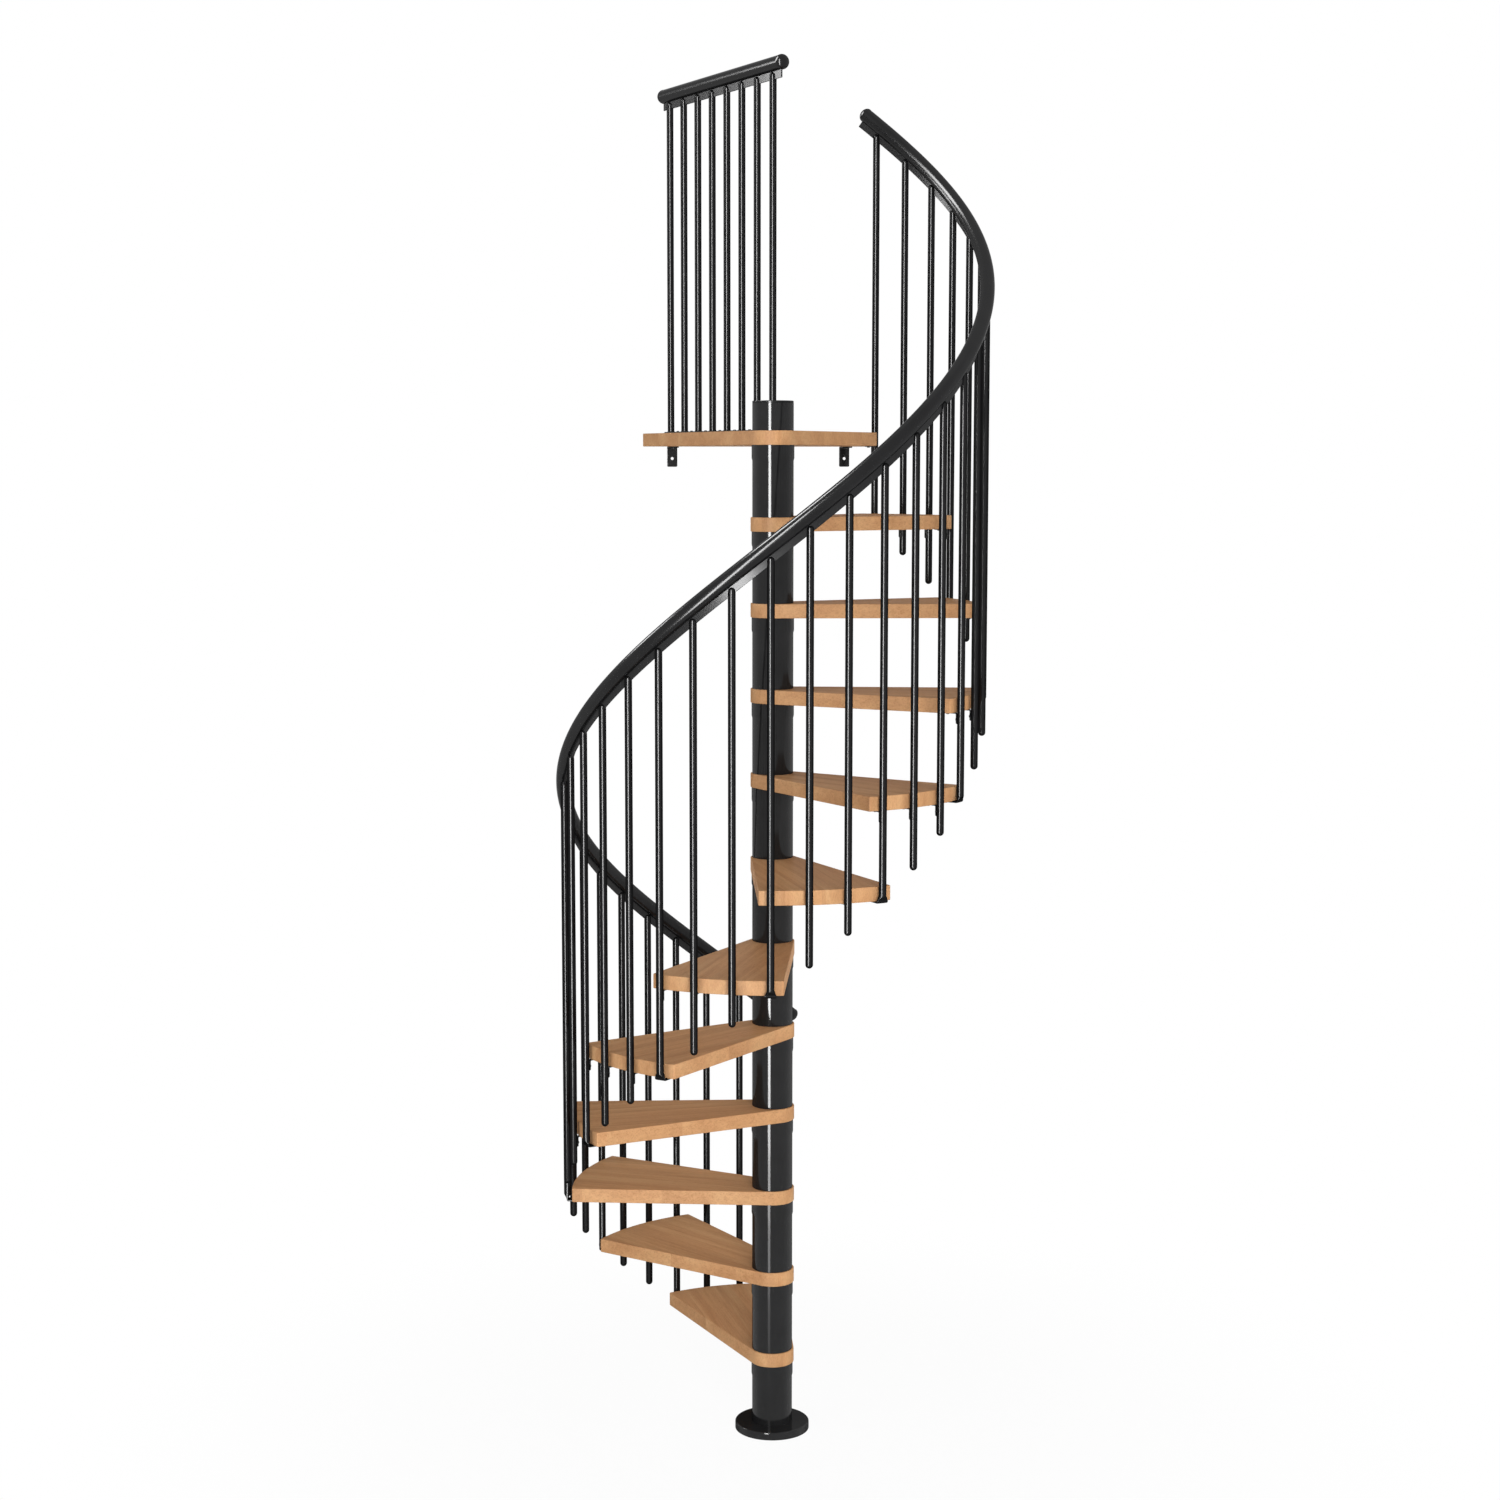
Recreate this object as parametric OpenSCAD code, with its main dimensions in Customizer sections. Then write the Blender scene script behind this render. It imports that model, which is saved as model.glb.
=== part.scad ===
// Spiral staircase: eleven wooden treads and a landing platform stacked on a round column,
// with a helical handrail on slotted balusters and a straight landing balustrade.

/* [Stair] */
// Height from one tread to the next
rise = 235.7; // [215:0.1:250]
// Turn from one tread to the next, in degrees
step_angle = 29.9; // [28:0.1:31]
// Direction of the first baluster, in degrees from the X axis
start_angle = 83.2; // [78:0.1:86]

/* [Column] */
// Outer diameter of the spacer sleeves
column_d = 113.4; // [100:0.2:116]
// Wall of a spacer sleeve
sleeve_wall = 3; // [2:0.5:5]
// Outer diameter of the inner steel pole
pole_d = 60; // [48:1:70]
// Wall of the inner steel pole
pole_wall = 4; // [3:0.5:6]
// Height of the ring under each tread
collar_h = 41; // [24:1:50]
// Wall of the ring under each tread
collar_wall = 1.8; // [1:0.1:3]
// Diameter of the base plate
base_d = 210; // [180:1:260]
// Thickness of the base plate
base_h = 22; // [12:1:30]
// Height of the column above the platform
column_above = 81; // [50:1:120]

/* [Treads] */
// Thickness of a tread and of the platform
tread_t = 39; // [30:1:45]
// Diameter of the round nose at the column
nose_d = 123; // [121:0.5:130]
// Gap between a tread's outer edge and the balusters
tread_gap = 4.5; // [4:0.5:15]
// Half of the angle between the outer corners
tread_half_angle = 18.3; // [17:0.1:20]
// Angle from a tread's middle to the baluster at its back
foot_lead = 14.8; // [14:0.1:15.5]

/* [Platform] */
// Length of the straight back edge
platform_w = 707; // [660:1:760]
// Distance of the back edge from the column axis
platform_back = 780; // [740:1:840]
// Distance of the left corner from the column axis, across
platform_left = 303.5; // [280:0.5:320]
// Gap between the front right corner and the balusters' circle
platform_gap = 27; // [24:1:45]
// Angle from the front right corner to the last baluster
platform_corner_lead = 2.2; // [1.5:0.1:3]
// Spacing of the holes in the two wall brackets
bracket_spacing = 527; // [480:1:560]
// Diameter of the holes in the wall brackets
bracket_hole_d = 9; // [6:0.5:11]

/* [Railing] */
// Radius of the handrail and of the balusters' circle
railing_r = 580; // [480:0.5:700]
// Diameter of a baluster
baluster_d = 20; // [16:0.5:21]
// Length of a baluster from foot to rounded top
baluster_len = 1135; // [1050:1:1180]
// Turn from a footed baluster to the next one, in degrees
first_turn = 9.85; // [9:0.05:10.5]
// Turn from a footed baluster to the second one after it, in degrees
second_turn = 20.05; // [19.5:0.05:21]
// Diameter of the handrails
rail_d = 40; // [36:0.5:44]
// Thickness of the flat strip under a handrail
strip_t = 4; // [3:0.5:5]
// Height of the strip that shows below a handrail
strip_show = 18; // [14:0.5:24]
// Height of the strip that shows below the landing handrail
landing_strip_show = 21; // [14:0.5:26]
// Height of the landing handrail's middle above the platform
landing_rail_h = 990.5; // [940:0.5:1040]
// Spacing of the landing balusters
landing_pitch = 93.5; // [85:0.5:96]

/* [Hidden] */
$fn = 48;
tread_count = 11;
// Room left around pieces that slide over or sit against each other
fit = 0.1;
slot_fit = 0.5;
// How far a cut runs past the face that it opens
over = 1;
// Thickness of the slices a taper is drawn between, and the sides of its round end
skin = 0.2;
taper_sides = 32;
// Rounded corners of the wooden boards
corner_r = 4;
// Straight pieces of a corner or bend, a tread's outer edge and a round nose
corner_steps = 5;
edge_steps = 12;
nose_steps = 18;
// Bands in a quarter of a dome
dome_steps = 6;

column_r = column_d / 2;
pole_r = pole_d / 2;
nose_r = nose_d / 2;
baluster_r = baluster_d / 2;
rail_r = rail_d / 2;
tread_r = railing_r - baluster_r - tread_gap;
platform_corner_r = railing_r - platform_gap;
platform_z = (tread_count + 1) * rise;
column_top = platform_z + column_above;
cap_h = 6;

// Tapered lower edge of the ring under a tread
collar_lip = 0.5;
collar_taper_h = 6;

// Bent foot of a baluster: flat bar, tab under the tread and the taper up to the tube
foot_t = 4;
foot_w = 31;
foot_flat_h = 7;
foot_taper_h = 13;
foot_tab_len = 60;
foot_bend_r = 2;

// Angle bracket between a tread and a baluster
clip_t = 2.5;
clip_w = 12;
clip_leg_h = 30;
clip_leg_len = 42;
clip_bend_r = 2;

// Room around the last baluster in the platform's notched side
notch_gap = 3;

// Round foot of the first baluster
start_foot_d = 60;
start_foot_h = 5;
start_len = baluster_len - tread_t - foot_t - start_foot_h;

// Angle bracket between the platform and a wall
wall_bracket_w = 31;
wall_bracket_t = 4;
wall_bracket_drop = 61;
wall_bracket_reach = 65;
wall_hole_drop = 36;
wall_bend_r = 3;

// Handrail helix
slope = atan(rise / (railing_r * step_angle * PI / 180));
strip_seat = 7;
top_gap = (rail_r + baluster_r + fit) / cos(slope) - baluster_r;
rail_lift = baluster_len - tread_t - foot_t + top_gap;
// Turn of the handrail before its first baluster and past its last one
rail_lead = 5.9;
rail_tail = 3.35;
rail_start = start_angle - rail_lead;
rail_end = foot_angle(tread_count) + rail_tail;
rings_per_step = 6;
ring_count = ceil((rail_end - rail_start) / step_angle * rings_per_step);
rail_sides = 20;

// Domed ends of the handrails
cap_flange_h = 1;
cap_extra_r = 1;
cap_dome_h = 12;

// Landing balustrade, from the baluster beside the column to the one near the left corner
landing_count = 8;
landing_shift = 9;
landing_gap = 25;
landing_near = [landing_shift, column_r + landing_gap];
landing_angle = 110.8;
landing_rail_over = [51, 40];
landing_foot_t = 4;
landing_foot_w = 26;
landing_foot_over = [13, 20];
landing_len = (landing_count - 1) * landing_pitch;
landing_rail_len = landing_len + landing_rail_over[0] + landing_rail_over[1];
landing_foot_len = landing_len + landing_foot_over[0] + landing_foot_over[1];
landing_rail_z = platform_z + landing_rail_h;
landing_rod_len = landing_rail_h - rail_r - fit - landing_foot_t;

wood = [0.72, 0.52, 0.36];
black = [0.07, 0.07, 0.08];

function two_digits(k) = k < 10 ? str("0", k) : str(k);
function tread_z(k) = k * rise;
function foot_angle(k) = start_angle + k * step_angle;
function helix_z(a) = (a - start_angle) / step_angle * rise;
function baluster_bottom(a) = helix_z(a) - tread_t - foot_t;
function rail_z(a) = helix_z(a) + rail_lift;
function polar(r, a) = r * [cos(a), sin(a)];
function arc(r, from, to, n) = [for (i = [0:n]) polar(r, from + (to - from) * i / n)];

// Where a straight side from a far corner meets the round nose
function nose_turn(r) = acos(nose_r / r);

// Rounded corner of an outline that comes in along heading and turns left
function corner_reach(turn) = corner_r * tan(turn / 2);
function corner_arc(corner, heading, turn) =
    let (middle = corner - polar(corner_reach(turn), heading) + polar(corner_r, heading + 90))
        [for (p = arc(corner_r, heading - 90, heading - 90 + turn, corner_steps)) middle + p];

function tread_outline() =
    let (half = tread_half_angle,
         turn = nose_turn(tread_r),
         trim = corner_reach(turn) / tread_r * 180 / PI)
        concat(
            corner_arc(polar(tread_r, -half), 90 - turn - half, turn),
            arc(tread_r, 2 * trim - half, half - 2 * trim, edge_steps),
            corner_arc(polar(tread_r, half), half + 90, turn),
            arc(nose_r, half + turn, 360 - half - turn, nose_steps));

platform_front_angle = foot_angle(tread_count) - 360 - platform_corner_lead;
platform_front = polar(platform_corner_r, platform_front_angle);
platform_left_corner = [-platform_left, platform_back];
platform_right_corner = [platform_w - platform_left, platform_back];
platform_left_angle = atan2(platform_back, -platform_left);

function platform_outline() =
    let (front_turn = nose_turn(platform_corner_r),
         left_turn = nose_turn(norm(platform_left_corner)),
         front_heading = platform_front_angle + 90 - front_turn,
         side = platform_right_corner - platform_front,
         side_heading = atan2(side[1], side[0]),
         left_heading = platform_left_angle + 90 + left_turn)
        concat(
            corner_arc(platform_front, front_heading, side_heading - front_heading),
            corner_arc(platform_right_corner, side_heading, 180 - side_heading),
            corner_arc(platform_left_corner, 180, left_heading - 180),
            arc(nose_r, left_heading - 90, 270 + front_heading, nose_steps));

// Point of a section [outward, upward] carried along the handrail helix at angle a
function helix_point(p, a) = [
    (railing_r + p[0]) * cos(a) + p[1] * sin(slope) * sin(a),
    (railing_r + p[0]) * sin(a) - p[1] * sin(slope) * cos(a),
    rail_z(a) + p[1] * cos(slope)];

groove_half = strip_t / 2 + fit;
groove_turn = asin(groove_half / rail_r);
groove_top = strip_seat - rail_r;

function rail_section() = concat(
    arc(rail_r, groove_turn - 90, 270 - groove_turn, rail_sides),
    [[-groove_half, groove_top], [groove_half, groove_top]]);

function strip_section() = [
    [-strip_t / 2, -rail_r - strip_show],
    [strip_t / 2, -rail_r - strip_show],
    [strip_t / 2, groove_top - fit],
    [-strip_t / 2, groove_top - fit]];

module helix_sweep(section) {
    m = len(section);
    points = [
        for (r = [0:ring_count])
            for (p = section)
                helix_point(p, rail_start + (rail_end - rail_start) * r / ring_count)];
    sides = [
        for (r = [0:ring_count - 1])
            for (i = [0:m - 1])
                let (a = r * m + i, b = r * m + (i + 1) % m)
                    each [[a, b, b + m], [a, b + m, a + m]]];
    first = [for (i = [m - 1:-1:0]) i];
    last = [for (i = [0:m - 1]) ring_count * m + i];
    polyhedron(points, concat([first, last], sides));
}

// Quarter of a dome's half profile, turning up from the given angle about a point on the axis
function dome_quarter(middle_z, from) = [
    for (p = arc(baluster_r, from, from + 90, dome_steps))
        [p[0], p[1] + middle_z]];

// Rod turned from its half profile, with a domed top and, if asked for, a domed bottom
module rod(length, domed_bottom) {
    rotate_extrude()
        polygon(concat(
            domed_bottom ? dome_quarter(baluster_r, -90) : [[0, 0], [baluster_r, 0]],
            dome_quarter(length - baluster_r, 0)));
}

// Rod with its top cut open for the strip, given the handrail's middle above its foot, how far the
// strip shows and the slope
module slotted_rod(length, domed_bottom, middle_z, show, tilt) {
    reach = 3 * baluster_d;
    low = rail_r + show + fit;
    difference() {
        rod(length, domed_bottom);
        translate([0, 0, middle_z])
            rotate([tilt, 0, 0])
                translate([-strip_t / 2 - slot_fit, -reach, -low])
                    cube([strip_t + 2 * slot_fit, 2 * reach, low + reach]);
    }
}

module at_railing(a, z) {
    rotate([0, 0, a])
        translate([railing_r, 0, z])
            children();
}

module hanging_baluster(a) {
    at_railing(a, baluster_bottom(a))
        slotted_rod(baluster_len, true, baluster_len + top_gap, strip_show, slope);
}

// Flattened and bent lower end: taper, flat bar, bend and the tab that lies under the tread
module bent_foot() {
    bend_z = foot_t + foot_bend_r;
    bend_x = -foot_t / 2 - foot_bend_r;
    hull() {
        translate([0, 0, foot_flat_h + foot_taper_h - skin])
            cylinder(r = baluster_r - skin, h = skin, $fn = taper_sides);
        translate([-foot_t / 2, -foot_w / 2, foot_flat_h])
            cube([foot_t, foot_w, skin]);
    }
    translate([-foot_t / 2, -foot_w / 2, bend_z])
        cube([foot_t, foot_w, foot_flat_h - bend_z]);
    translate([bend_x, 0, bend_z])
        rotate([90, 0, 0])
            rotate([0, 0, -90])
                rotate_extrude(angle = 90)
                    translate([foot_bend_r, -foot_w / 2])
                        square([foot_t, foot_w]);
    translate([foot_t / 2 - foot_tab_len, -foot_w / 2, 0])
        cube([foot_tab_len + bend_x - foot_t / 2, foot_w, foot_t]);
}

module footed_baluster(a) {
    rod_from = foot_flat_h + foot_taper_h;
    rod_len = baluster_len - rod_from;
    at_railing(a, baluster_bottom(a)) {
        translate([0, 0, rod_from])
            slotted_rod(rod_len, false, rod_len + top_gap, strip_show, slope);
        bent_foot();
    }
}

// Bent profile of an angle bracket, from the end of its level leg to the end of its hanging leg
function angle_profile(level, drop, t, bend_r) =
    let (outer_r = bend_r + t, middle = [-outer_r, -outer_r])
        concat(
            [[-level, 0], [-level, -t]],
            [for (p = arc(bend_r, 90, 0, corner_steps)) middle + p],
            [[-t, -drop], [0, -drop]],
            [for (p = arc(outer_r, 0, 90, corner_steps)) middle + p]);

// Angle bracket: one leg under the tread, the other down the inner side of the baluster
module baluster_bracket(a, underside) {
    at_railing(a, underside)
        translate([-baluster_r - fit, clip_w / 2, 0])
            rotate([90, 0, 0])
                linear_extrude(clip_w)
                    polygon(angle_profile(clip_leg_len, clip_leg_h, clip_t, clip_bend_r));
}

module base_plate() {
    edge = 3;
    color(black)
        rotate_extrude()
            polygon([[0, 0], [base_d / 2, 0], [base_d / 2, base_h - edge],
                [base_d / 2 - edge, base_h], [0, base_h]]);
}

module center_pole() {
    color(black)
        difference() {
            translate([0, 0, base_h])
                cylinder(r = pole_r, h = column_top - cap_h - base_h);
            translate([0, 0, base_h - over])
                cylinder(r = pole_r - pole_wall, h = column_top - cap_h - base_h + 2 * over);
        }
}

module sleeve(bottom, top) {
    translate([0, 0, bottom])
        difference() {
            cylinder(r = column_r, h = top - bottom);
            translate([0, 0, -over])
                cylinder(r = column_r - sleeve_wall, h = top - bottom + 2 * over);
        }
}

module spacer_sleeves() {
    color(black) {
        sleeve(base_h, tread_z(1) - tread_t);
        for (k = [1:tread_count])
            sleeve(tread_z(k), tread_z(k + 1) - tread_t);
        sleeve(platform_z, column_top - cap_h);
    }
}

module sleeve_collars() {
    inner_r = column_r + fit;
    outer_r = inner_r + collar_wall;
    color(black)
        for (k = [1:tread_count + 1])
            translate([0, 0, tread_z(k) - tread_t - collar_h])
                rotate_extrude()
                    polygon([[inner_r, 0], [inner_r + collar_lip, 0], [outer_r, collar_taper_h],
                        [outer_r, collar_h], [inner_r, collar_h]]);
}

module column_cap() {
    edge = 2;
    color(black)
        translate([0, 0, column_top - cap_h])
            rotate_extrude()
                polygon([[0, 0], [column_r, 0], [column_r, cap_h - edge],
                    [column_r - edge, cap_h], [0, cap_h]]);
}

module pole_bore(top) {
    translate([0, 0, top - tread_t - over])
        cylinder(r = pole_r + fit, h = tread_t + 2 * over);
}

module tread(k) {
    color(wood)
        difference() {
            translate([0, 0, tread_z(k) - tread_t])
                rotate([0, 0, foot_angle(k) - foot_lead])
                    linear_extrude(tread_t)
                        polygon(tread_outline());
            pole_bore(tread_z(k));
        }
}

module platform() {
    color(wood)
        difference() {
            translate([0, 0, platform_z - tread_t])
                linear_extrude(tread_t)
                    polygon(platform_outline());
            pole_bore(platform_z);
            at_railing(foot_angle(tread_count), platform_z - tread_t - over)
                cylinder(r = baluster_r + notch_gap, h = tread_t + 2 * over);
        }
}

module start_baluster() {
    color(black)
        at_railing(start_angle, 0) {
            cylinder(d = start_foot_d, h = start_foot_h);
            translate([0, 0, start_foot_h])
                slotted_rod(start_len, false, start_len + top_gap, strip_show, slope);
        }
}

module balusters(k) {
    color(black) {
        hanging_baluster(foot_angle(k - 1) + first_turn);
        hanging_baluster(foot_angle(k - 1) + second_turn);
        footed_baluster(foot_angle(k));
    }
}

module baluster_brackets() {
    color(black) {
        for (k = [1:tread_count])
            for (turn = [0, first_turn, second_turn])
                baluster_bracket(foot_angle(k - 1) + turn, tread_z(k) - tread_t);
        baluster_bracket(foot_angle(tread_count), platform_z - tread_t);
    }
}

module handrail() {
    color(black)
        helix_sweep(rail_section());
}

module handrail_strip() {
    color(black)
        helix_sweep(strip_section());
}

// Domed plug over the end of a handrail, pointing along its own axis
module end_cap() {
    r = rail_r + cap_extra_r;
    rotate_extrude()
        polygon(concat(
            [[0, 0], [r, 0]],
            [for (p = arc(1, 0, 90, dome_steps)) [r * p[0], cap_flange_h + cap_dome_h * p[1]]]));
}

module handrail_caps() {
    color(black) {
        translate(helix_point([0, 0], rail_start))
            rotate([0, 0, rail_start])
                rotate([90 + slope, 0, 0])
                    end_cap();
        translate(helix_point([0, 0], rail_end))
            rotate([0, 0, rail_end])
                rotate([slope - 90, 0, 0])
                    end_cap();
    }
}

// Places children at the near landing baluster, with X along the row towards the far one
module at_landing() {
    translate([landing_near[0], landing_near[1], 0])
        rotate([0, 0, landing_angle])
            children();
}

module landing_handrail() {
    color(black)
        at_landing()
            translate([-landing_rail_over[0], 0, landing_rail_z])
                difference() {
                    rotate([0, 90, 0])
                        cylinder(r = rail_r, h = landing_rail_len);
                    translate([-over, -groove_half, -rail_r - over])
                        cube([landing_rail_len + 2 * over, 2 * groove_half, strip_seat + over]);
                }
}

module landing_strip() {
    color(black)
        at_landing()
            translate([-landing_rail_over[0], -strip_t / 2, landing_rail_z - rail_r - landing_strip_show])
                cube([landing_rail_len, strip_t, landing_strip_show + strip_seat - fit]);
}

module landing_caps() {
    color(black)
        at_landing() {
            translate([-landing_rail_over[0], 0, landing_rail_z])
                rotate([0, -90, 0])
                    end_cap();
            translate([landing_len + landing_rail_over[1], 0, landing_rail_z])
                rotate([0, 90, 0])
                    end_cap();
        }
}

module landing_balusters() {
    middle_z = landing_rail_h - landing_foot_t;
    color(black)
        at_landing()
            for (i = [0:landing_count - 1])
                translate([i * landing_pitch, 0, platform_z + landing_foot_t])
                    rotate([0, 0, 90])
                        slotted_rod(landing_rod_len, false, middle_z, landing_strip_show, 0);
}

module landing_foot_bar() {
    color(black)
        at_landing()
            translate([-landing_foot_over[0], -landing_foot_w / 2, platform_z])
                cube([landing_foot_len, landing_foot_w, landing_foot_t]);
}

// Angle bracket under the platform's back edge, with one bolt hole through its hanging leg
module wall_bracket(x) {
    profile = angle_profile(wall_bracket_reach, wall_bracket_drop, wall_bracket_t, wall_bend_r);
    color(black)
        translate([x, platform_back, platform_z - tread_t])
            difference() {
                translate([-wall_bracket_w / 2, 0, 0])
                    rotate([90, 0, 90])
                        linear_extrude(wall_bracket_w)
                            polygon(profile);
                translate([0, over, -wall_hole_drop])
                    rotate([90, 0, 0])
                        cylinder(d = bracket_hole_d, h = wall_bracket_t + 2 * over);
            }
}

platform_mid = platform_w / 2 - platform_left;
module wall_bracket_left() wall_bracket(platform_mid - bracket_spacing / 2);
module wall_bracket_right() wall_bracket(platform_mid + bracket_spacing / 2);

base_plate();
center_pole();
spacer_sleeves();
sleeve_collars();
column_cap();
for (k = [1:tread_count])
    tread(k);
platform();
start_baluster();
for (k = [1:tread_count])
    balusters(k);
baluster_brackets();
handrail();
handrail_strip();
handrail_caps();
landing_handrail();
landing_strip();
landing_caps();
landing_balusters();
landing_foot_bar();
wall_bracket_left();
wall_bracket_right();
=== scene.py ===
import math

import bmesh
import bpy
from mathutils import Matrix, Vector
from mathutils.geometry import tessellate_polygon


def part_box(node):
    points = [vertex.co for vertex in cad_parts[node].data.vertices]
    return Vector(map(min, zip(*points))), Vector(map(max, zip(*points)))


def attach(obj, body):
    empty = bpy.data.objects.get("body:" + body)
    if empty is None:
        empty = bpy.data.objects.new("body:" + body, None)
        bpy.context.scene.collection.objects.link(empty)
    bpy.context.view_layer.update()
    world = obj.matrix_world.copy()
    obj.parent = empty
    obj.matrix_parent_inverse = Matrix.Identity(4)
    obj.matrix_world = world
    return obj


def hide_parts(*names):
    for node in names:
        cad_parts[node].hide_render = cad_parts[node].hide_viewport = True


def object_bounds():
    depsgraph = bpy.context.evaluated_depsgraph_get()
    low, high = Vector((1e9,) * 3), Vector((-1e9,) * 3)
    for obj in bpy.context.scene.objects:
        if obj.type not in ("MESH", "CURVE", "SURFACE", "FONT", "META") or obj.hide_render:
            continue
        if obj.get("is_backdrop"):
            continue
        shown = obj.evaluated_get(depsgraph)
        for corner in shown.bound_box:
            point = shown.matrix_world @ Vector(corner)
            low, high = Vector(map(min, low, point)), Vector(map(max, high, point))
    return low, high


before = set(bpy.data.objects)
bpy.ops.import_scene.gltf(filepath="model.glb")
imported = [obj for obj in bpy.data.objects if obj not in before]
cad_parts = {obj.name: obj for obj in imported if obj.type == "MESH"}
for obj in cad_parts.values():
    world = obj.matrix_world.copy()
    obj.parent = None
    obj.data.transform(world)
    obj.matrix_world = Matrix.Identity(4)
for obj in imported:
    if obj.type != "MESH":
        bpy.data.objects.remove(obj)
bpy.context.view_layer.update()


# Short ways to read the frame and to state a place

def top_of(node):
    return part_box(node)[1].z


def height_of(node):
    low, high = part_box(node)
    return high.z - low.z


def turned(angle, axis="Z"):
    return Matrix.Rotation(math.radians(angle), 4, axis)


def shifted(x, y, z):
    return Matrix.Translation((x, y, z))


# Sizes of the staircase, in metres and degrees

TREADS = 11
RISE = top_of("tread_02") - top_of("tread_01")
BOARD_T = height_of("tread_01")
PLATFORM_Z = top_of("platform")
COLUMN_TOP = top_of("column_cap")
CAP_H = height_of("column_cap")
BASE_H = height_of("base_plate")
# Turn from one tread to the next, and direction of the first baluster
STEP = 29.9
START = 83.2
# Room between pieces that sit against each other
FIT = 0.0001

# Column; edges are the lower and the upper rounding
COLUMN_R = 0.0567
SLEEVE_WALL = 0.003
SLEEVE_EDGE = 0.0008
COLLAR_WALL = 0.0018
COLLAR_H = 0.041
COLLAR_LIP = 0.0005
COLLAR_TAPER = 0.006
COLLAR_EDGE = 0.0006
POLE_R = 0.030
BASE_R = 0.105
BASE_EDGES = (0.001, 0.004)
CAP_EDGES = (0.0006, 0.002)

# Treads
NOSE_R = 0.0615
RING_R = 0.580
BALUSTER_R = 0.010
BOARD_GAP = 0.0045
BOARD_R = RING_R - BALUSTER_R - BOARD_GAP
BOARD_HALF = 18.3
FOOT_LEAD = 14.8
CORNER_R = 0.004
BOARD_EDGE = 0.002

# Platform
PLATFORM_W = 0.707
PLATFORM_BACK = 0.780
PLATFORM_LEFT = 0.3035
PLATFORM_GAP = 0.027
PLATFORM_FRONT_R = RING_R - PLATFORM_GAP
PLATFORM_FRONT_LEAD = 2.2
NOTCH_GAP = 0.003
NOTCH_R = BALUSTER_R + NOTCH_GAP

# Balusters and their feet
BALUSTER_LEN = 1.135
TURNS = (9.85, 20.05)
FOOT_T = 0.004
FOOT_W = 0.031
FOOT_FLAT = 0.007
FOOT_TAPER = 0.013
FOOT_TAB = 0.060
FOOT_BEND = 0.002
START_FOOT_R = 0.030
START_FOOT_H = 0.005
START_FOOT_CHAMFER = (0.0004, 0.0006)
START_FOOT_EDGE = 0.0012

# Handrails
RAIL_R = 0.020
STRIP_T = 0.004
STRIP_SHOW = 0.018
STRIP_SEAT = 0.007
STRIP_EDGE = 0.0006
SLOT_FIT = 0.0005
SLOPE = math.atan(RISE / (RING_R * math.radians(STEP)))
TOP_GAP = (RAIL_R + BALUSTER_R + FIT) / math.cos(SLOPE) - BALUSTER_R
RAIL_LIFT = BALUSTER_LEN - BOARD_T - FOOT_T + TOP_GAP
RAIL_OVER = (5.9, 3.35)
RAIL_FROM = START - RAIL_OVER[0]
RAIL_TO = START + TREADS * STEP + RAIL_OVER[1]
END_PROUD = 0.0006
END_EDGE = 0.0005
END_RIM = 0.001
END_DOME = 0.016

# Landing balustrade
LANDING_COUNT = 8
LANDING_PITCH = 0.0935
LANDING_LEN = (LANDING_COUNT - 1) * LANDING_PITCH
LANDING_OVER = (0.051, 0.040)
LANDING_STRIP_SHOW = 0.021
LANDING_FOOT_OVER = (0.013, 0.020)
LANDING_FOOT_T = 0.004
LANDING_FOOT_W = 0.026
LANDING_RAIL_H = 0.9905
LANDING_RAIL_Z = PLATFORM_Z + LANDING_RAIL_H
LANDING_X = 0.009
LANDING_GAP = 0.025
LANDING_TURN = 110.8
LANDING = shifted(LANDING_X, COLUMN_R + LANDING_GAP, 0) @ turned(LANDING_TURN)

# Brackets and screws; a screw is the radius and the height of its head
CLIP_T = 0.0025
CLIP_W = 0.012
CLIP_LEVEL = 0.042
CLIP_DROP = 0.030
CLIP_BEND = 0.002
CLIP_ROUND = 0.004
CLIP_SCREW = (0.0042, 0.0026)
CLIP_SCREW_IN = 0.029
CLIP_SCREW_DROP = 0.018
TAB_SCREW = (0.005, 0.003)
TAB_SCREW_IN = 0.042
WALL_T = 0.004
WALL_W = 0.031
WALL_REACH = 0.065
WALL_DROP = 0.061
WALL_BEND = 0.003
WALL_ROUND = 0.003
WALL_HOLE_R = 0.0045
WALL_HOLE_DROP = 0.036
WALL_SPACING = 0.527
WALL_SCREW = (0.0055, 0.0032)
WALL_SCREWS_IN = (0.026, 0.050)
BAR_SCREW = (0.0042, 0.0024)


def foot_angle(k):
    return START + k * STEP


def helix_z(angle):
    return (angle - START) / STEP * RISE


def baluster_bottom(angle):
    return helix_z(angle) - BOARD_T - FOOT_T


def at_ring(angle, z):
    return turned(angle) @ shifted(RING_R, 0, z)


# Mesh helpers

# Edges that turn by more than this angle are shaded sharp
SHARP = 32
RAIL_SHARP = 40
NEARLY_ZERO = 1e-6


class Shape:
    """Vertices and faces gathered for one piece."""

    def __init__(self):
        self.verts = []
        self.faces = []

    def add(self, part, matrix=None):
        verts, faces = part
        start = len(self.verts)
        self.verts += [matrix @ Vector(v) if matrix else Vector(v) for v in verts]
        self.faces += [tuple(start + i for i in face) for face in faces]
        return self

    def mesh(self, name, sharp=SHARP):
        mesh = bpy.data.meshes.new(name)
        mesh.from_pydata(self.verts, [], self.faces)
        bm = bmesh.new()
        bm.from_mesh(mesh)
        bmesh.ops.recalc_face_normals(bm, faces=bm.faces)
        bm.to_mesh(mesh)
        bm.free()
        smooth(mesh, sharp)
        return mesh


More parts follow.
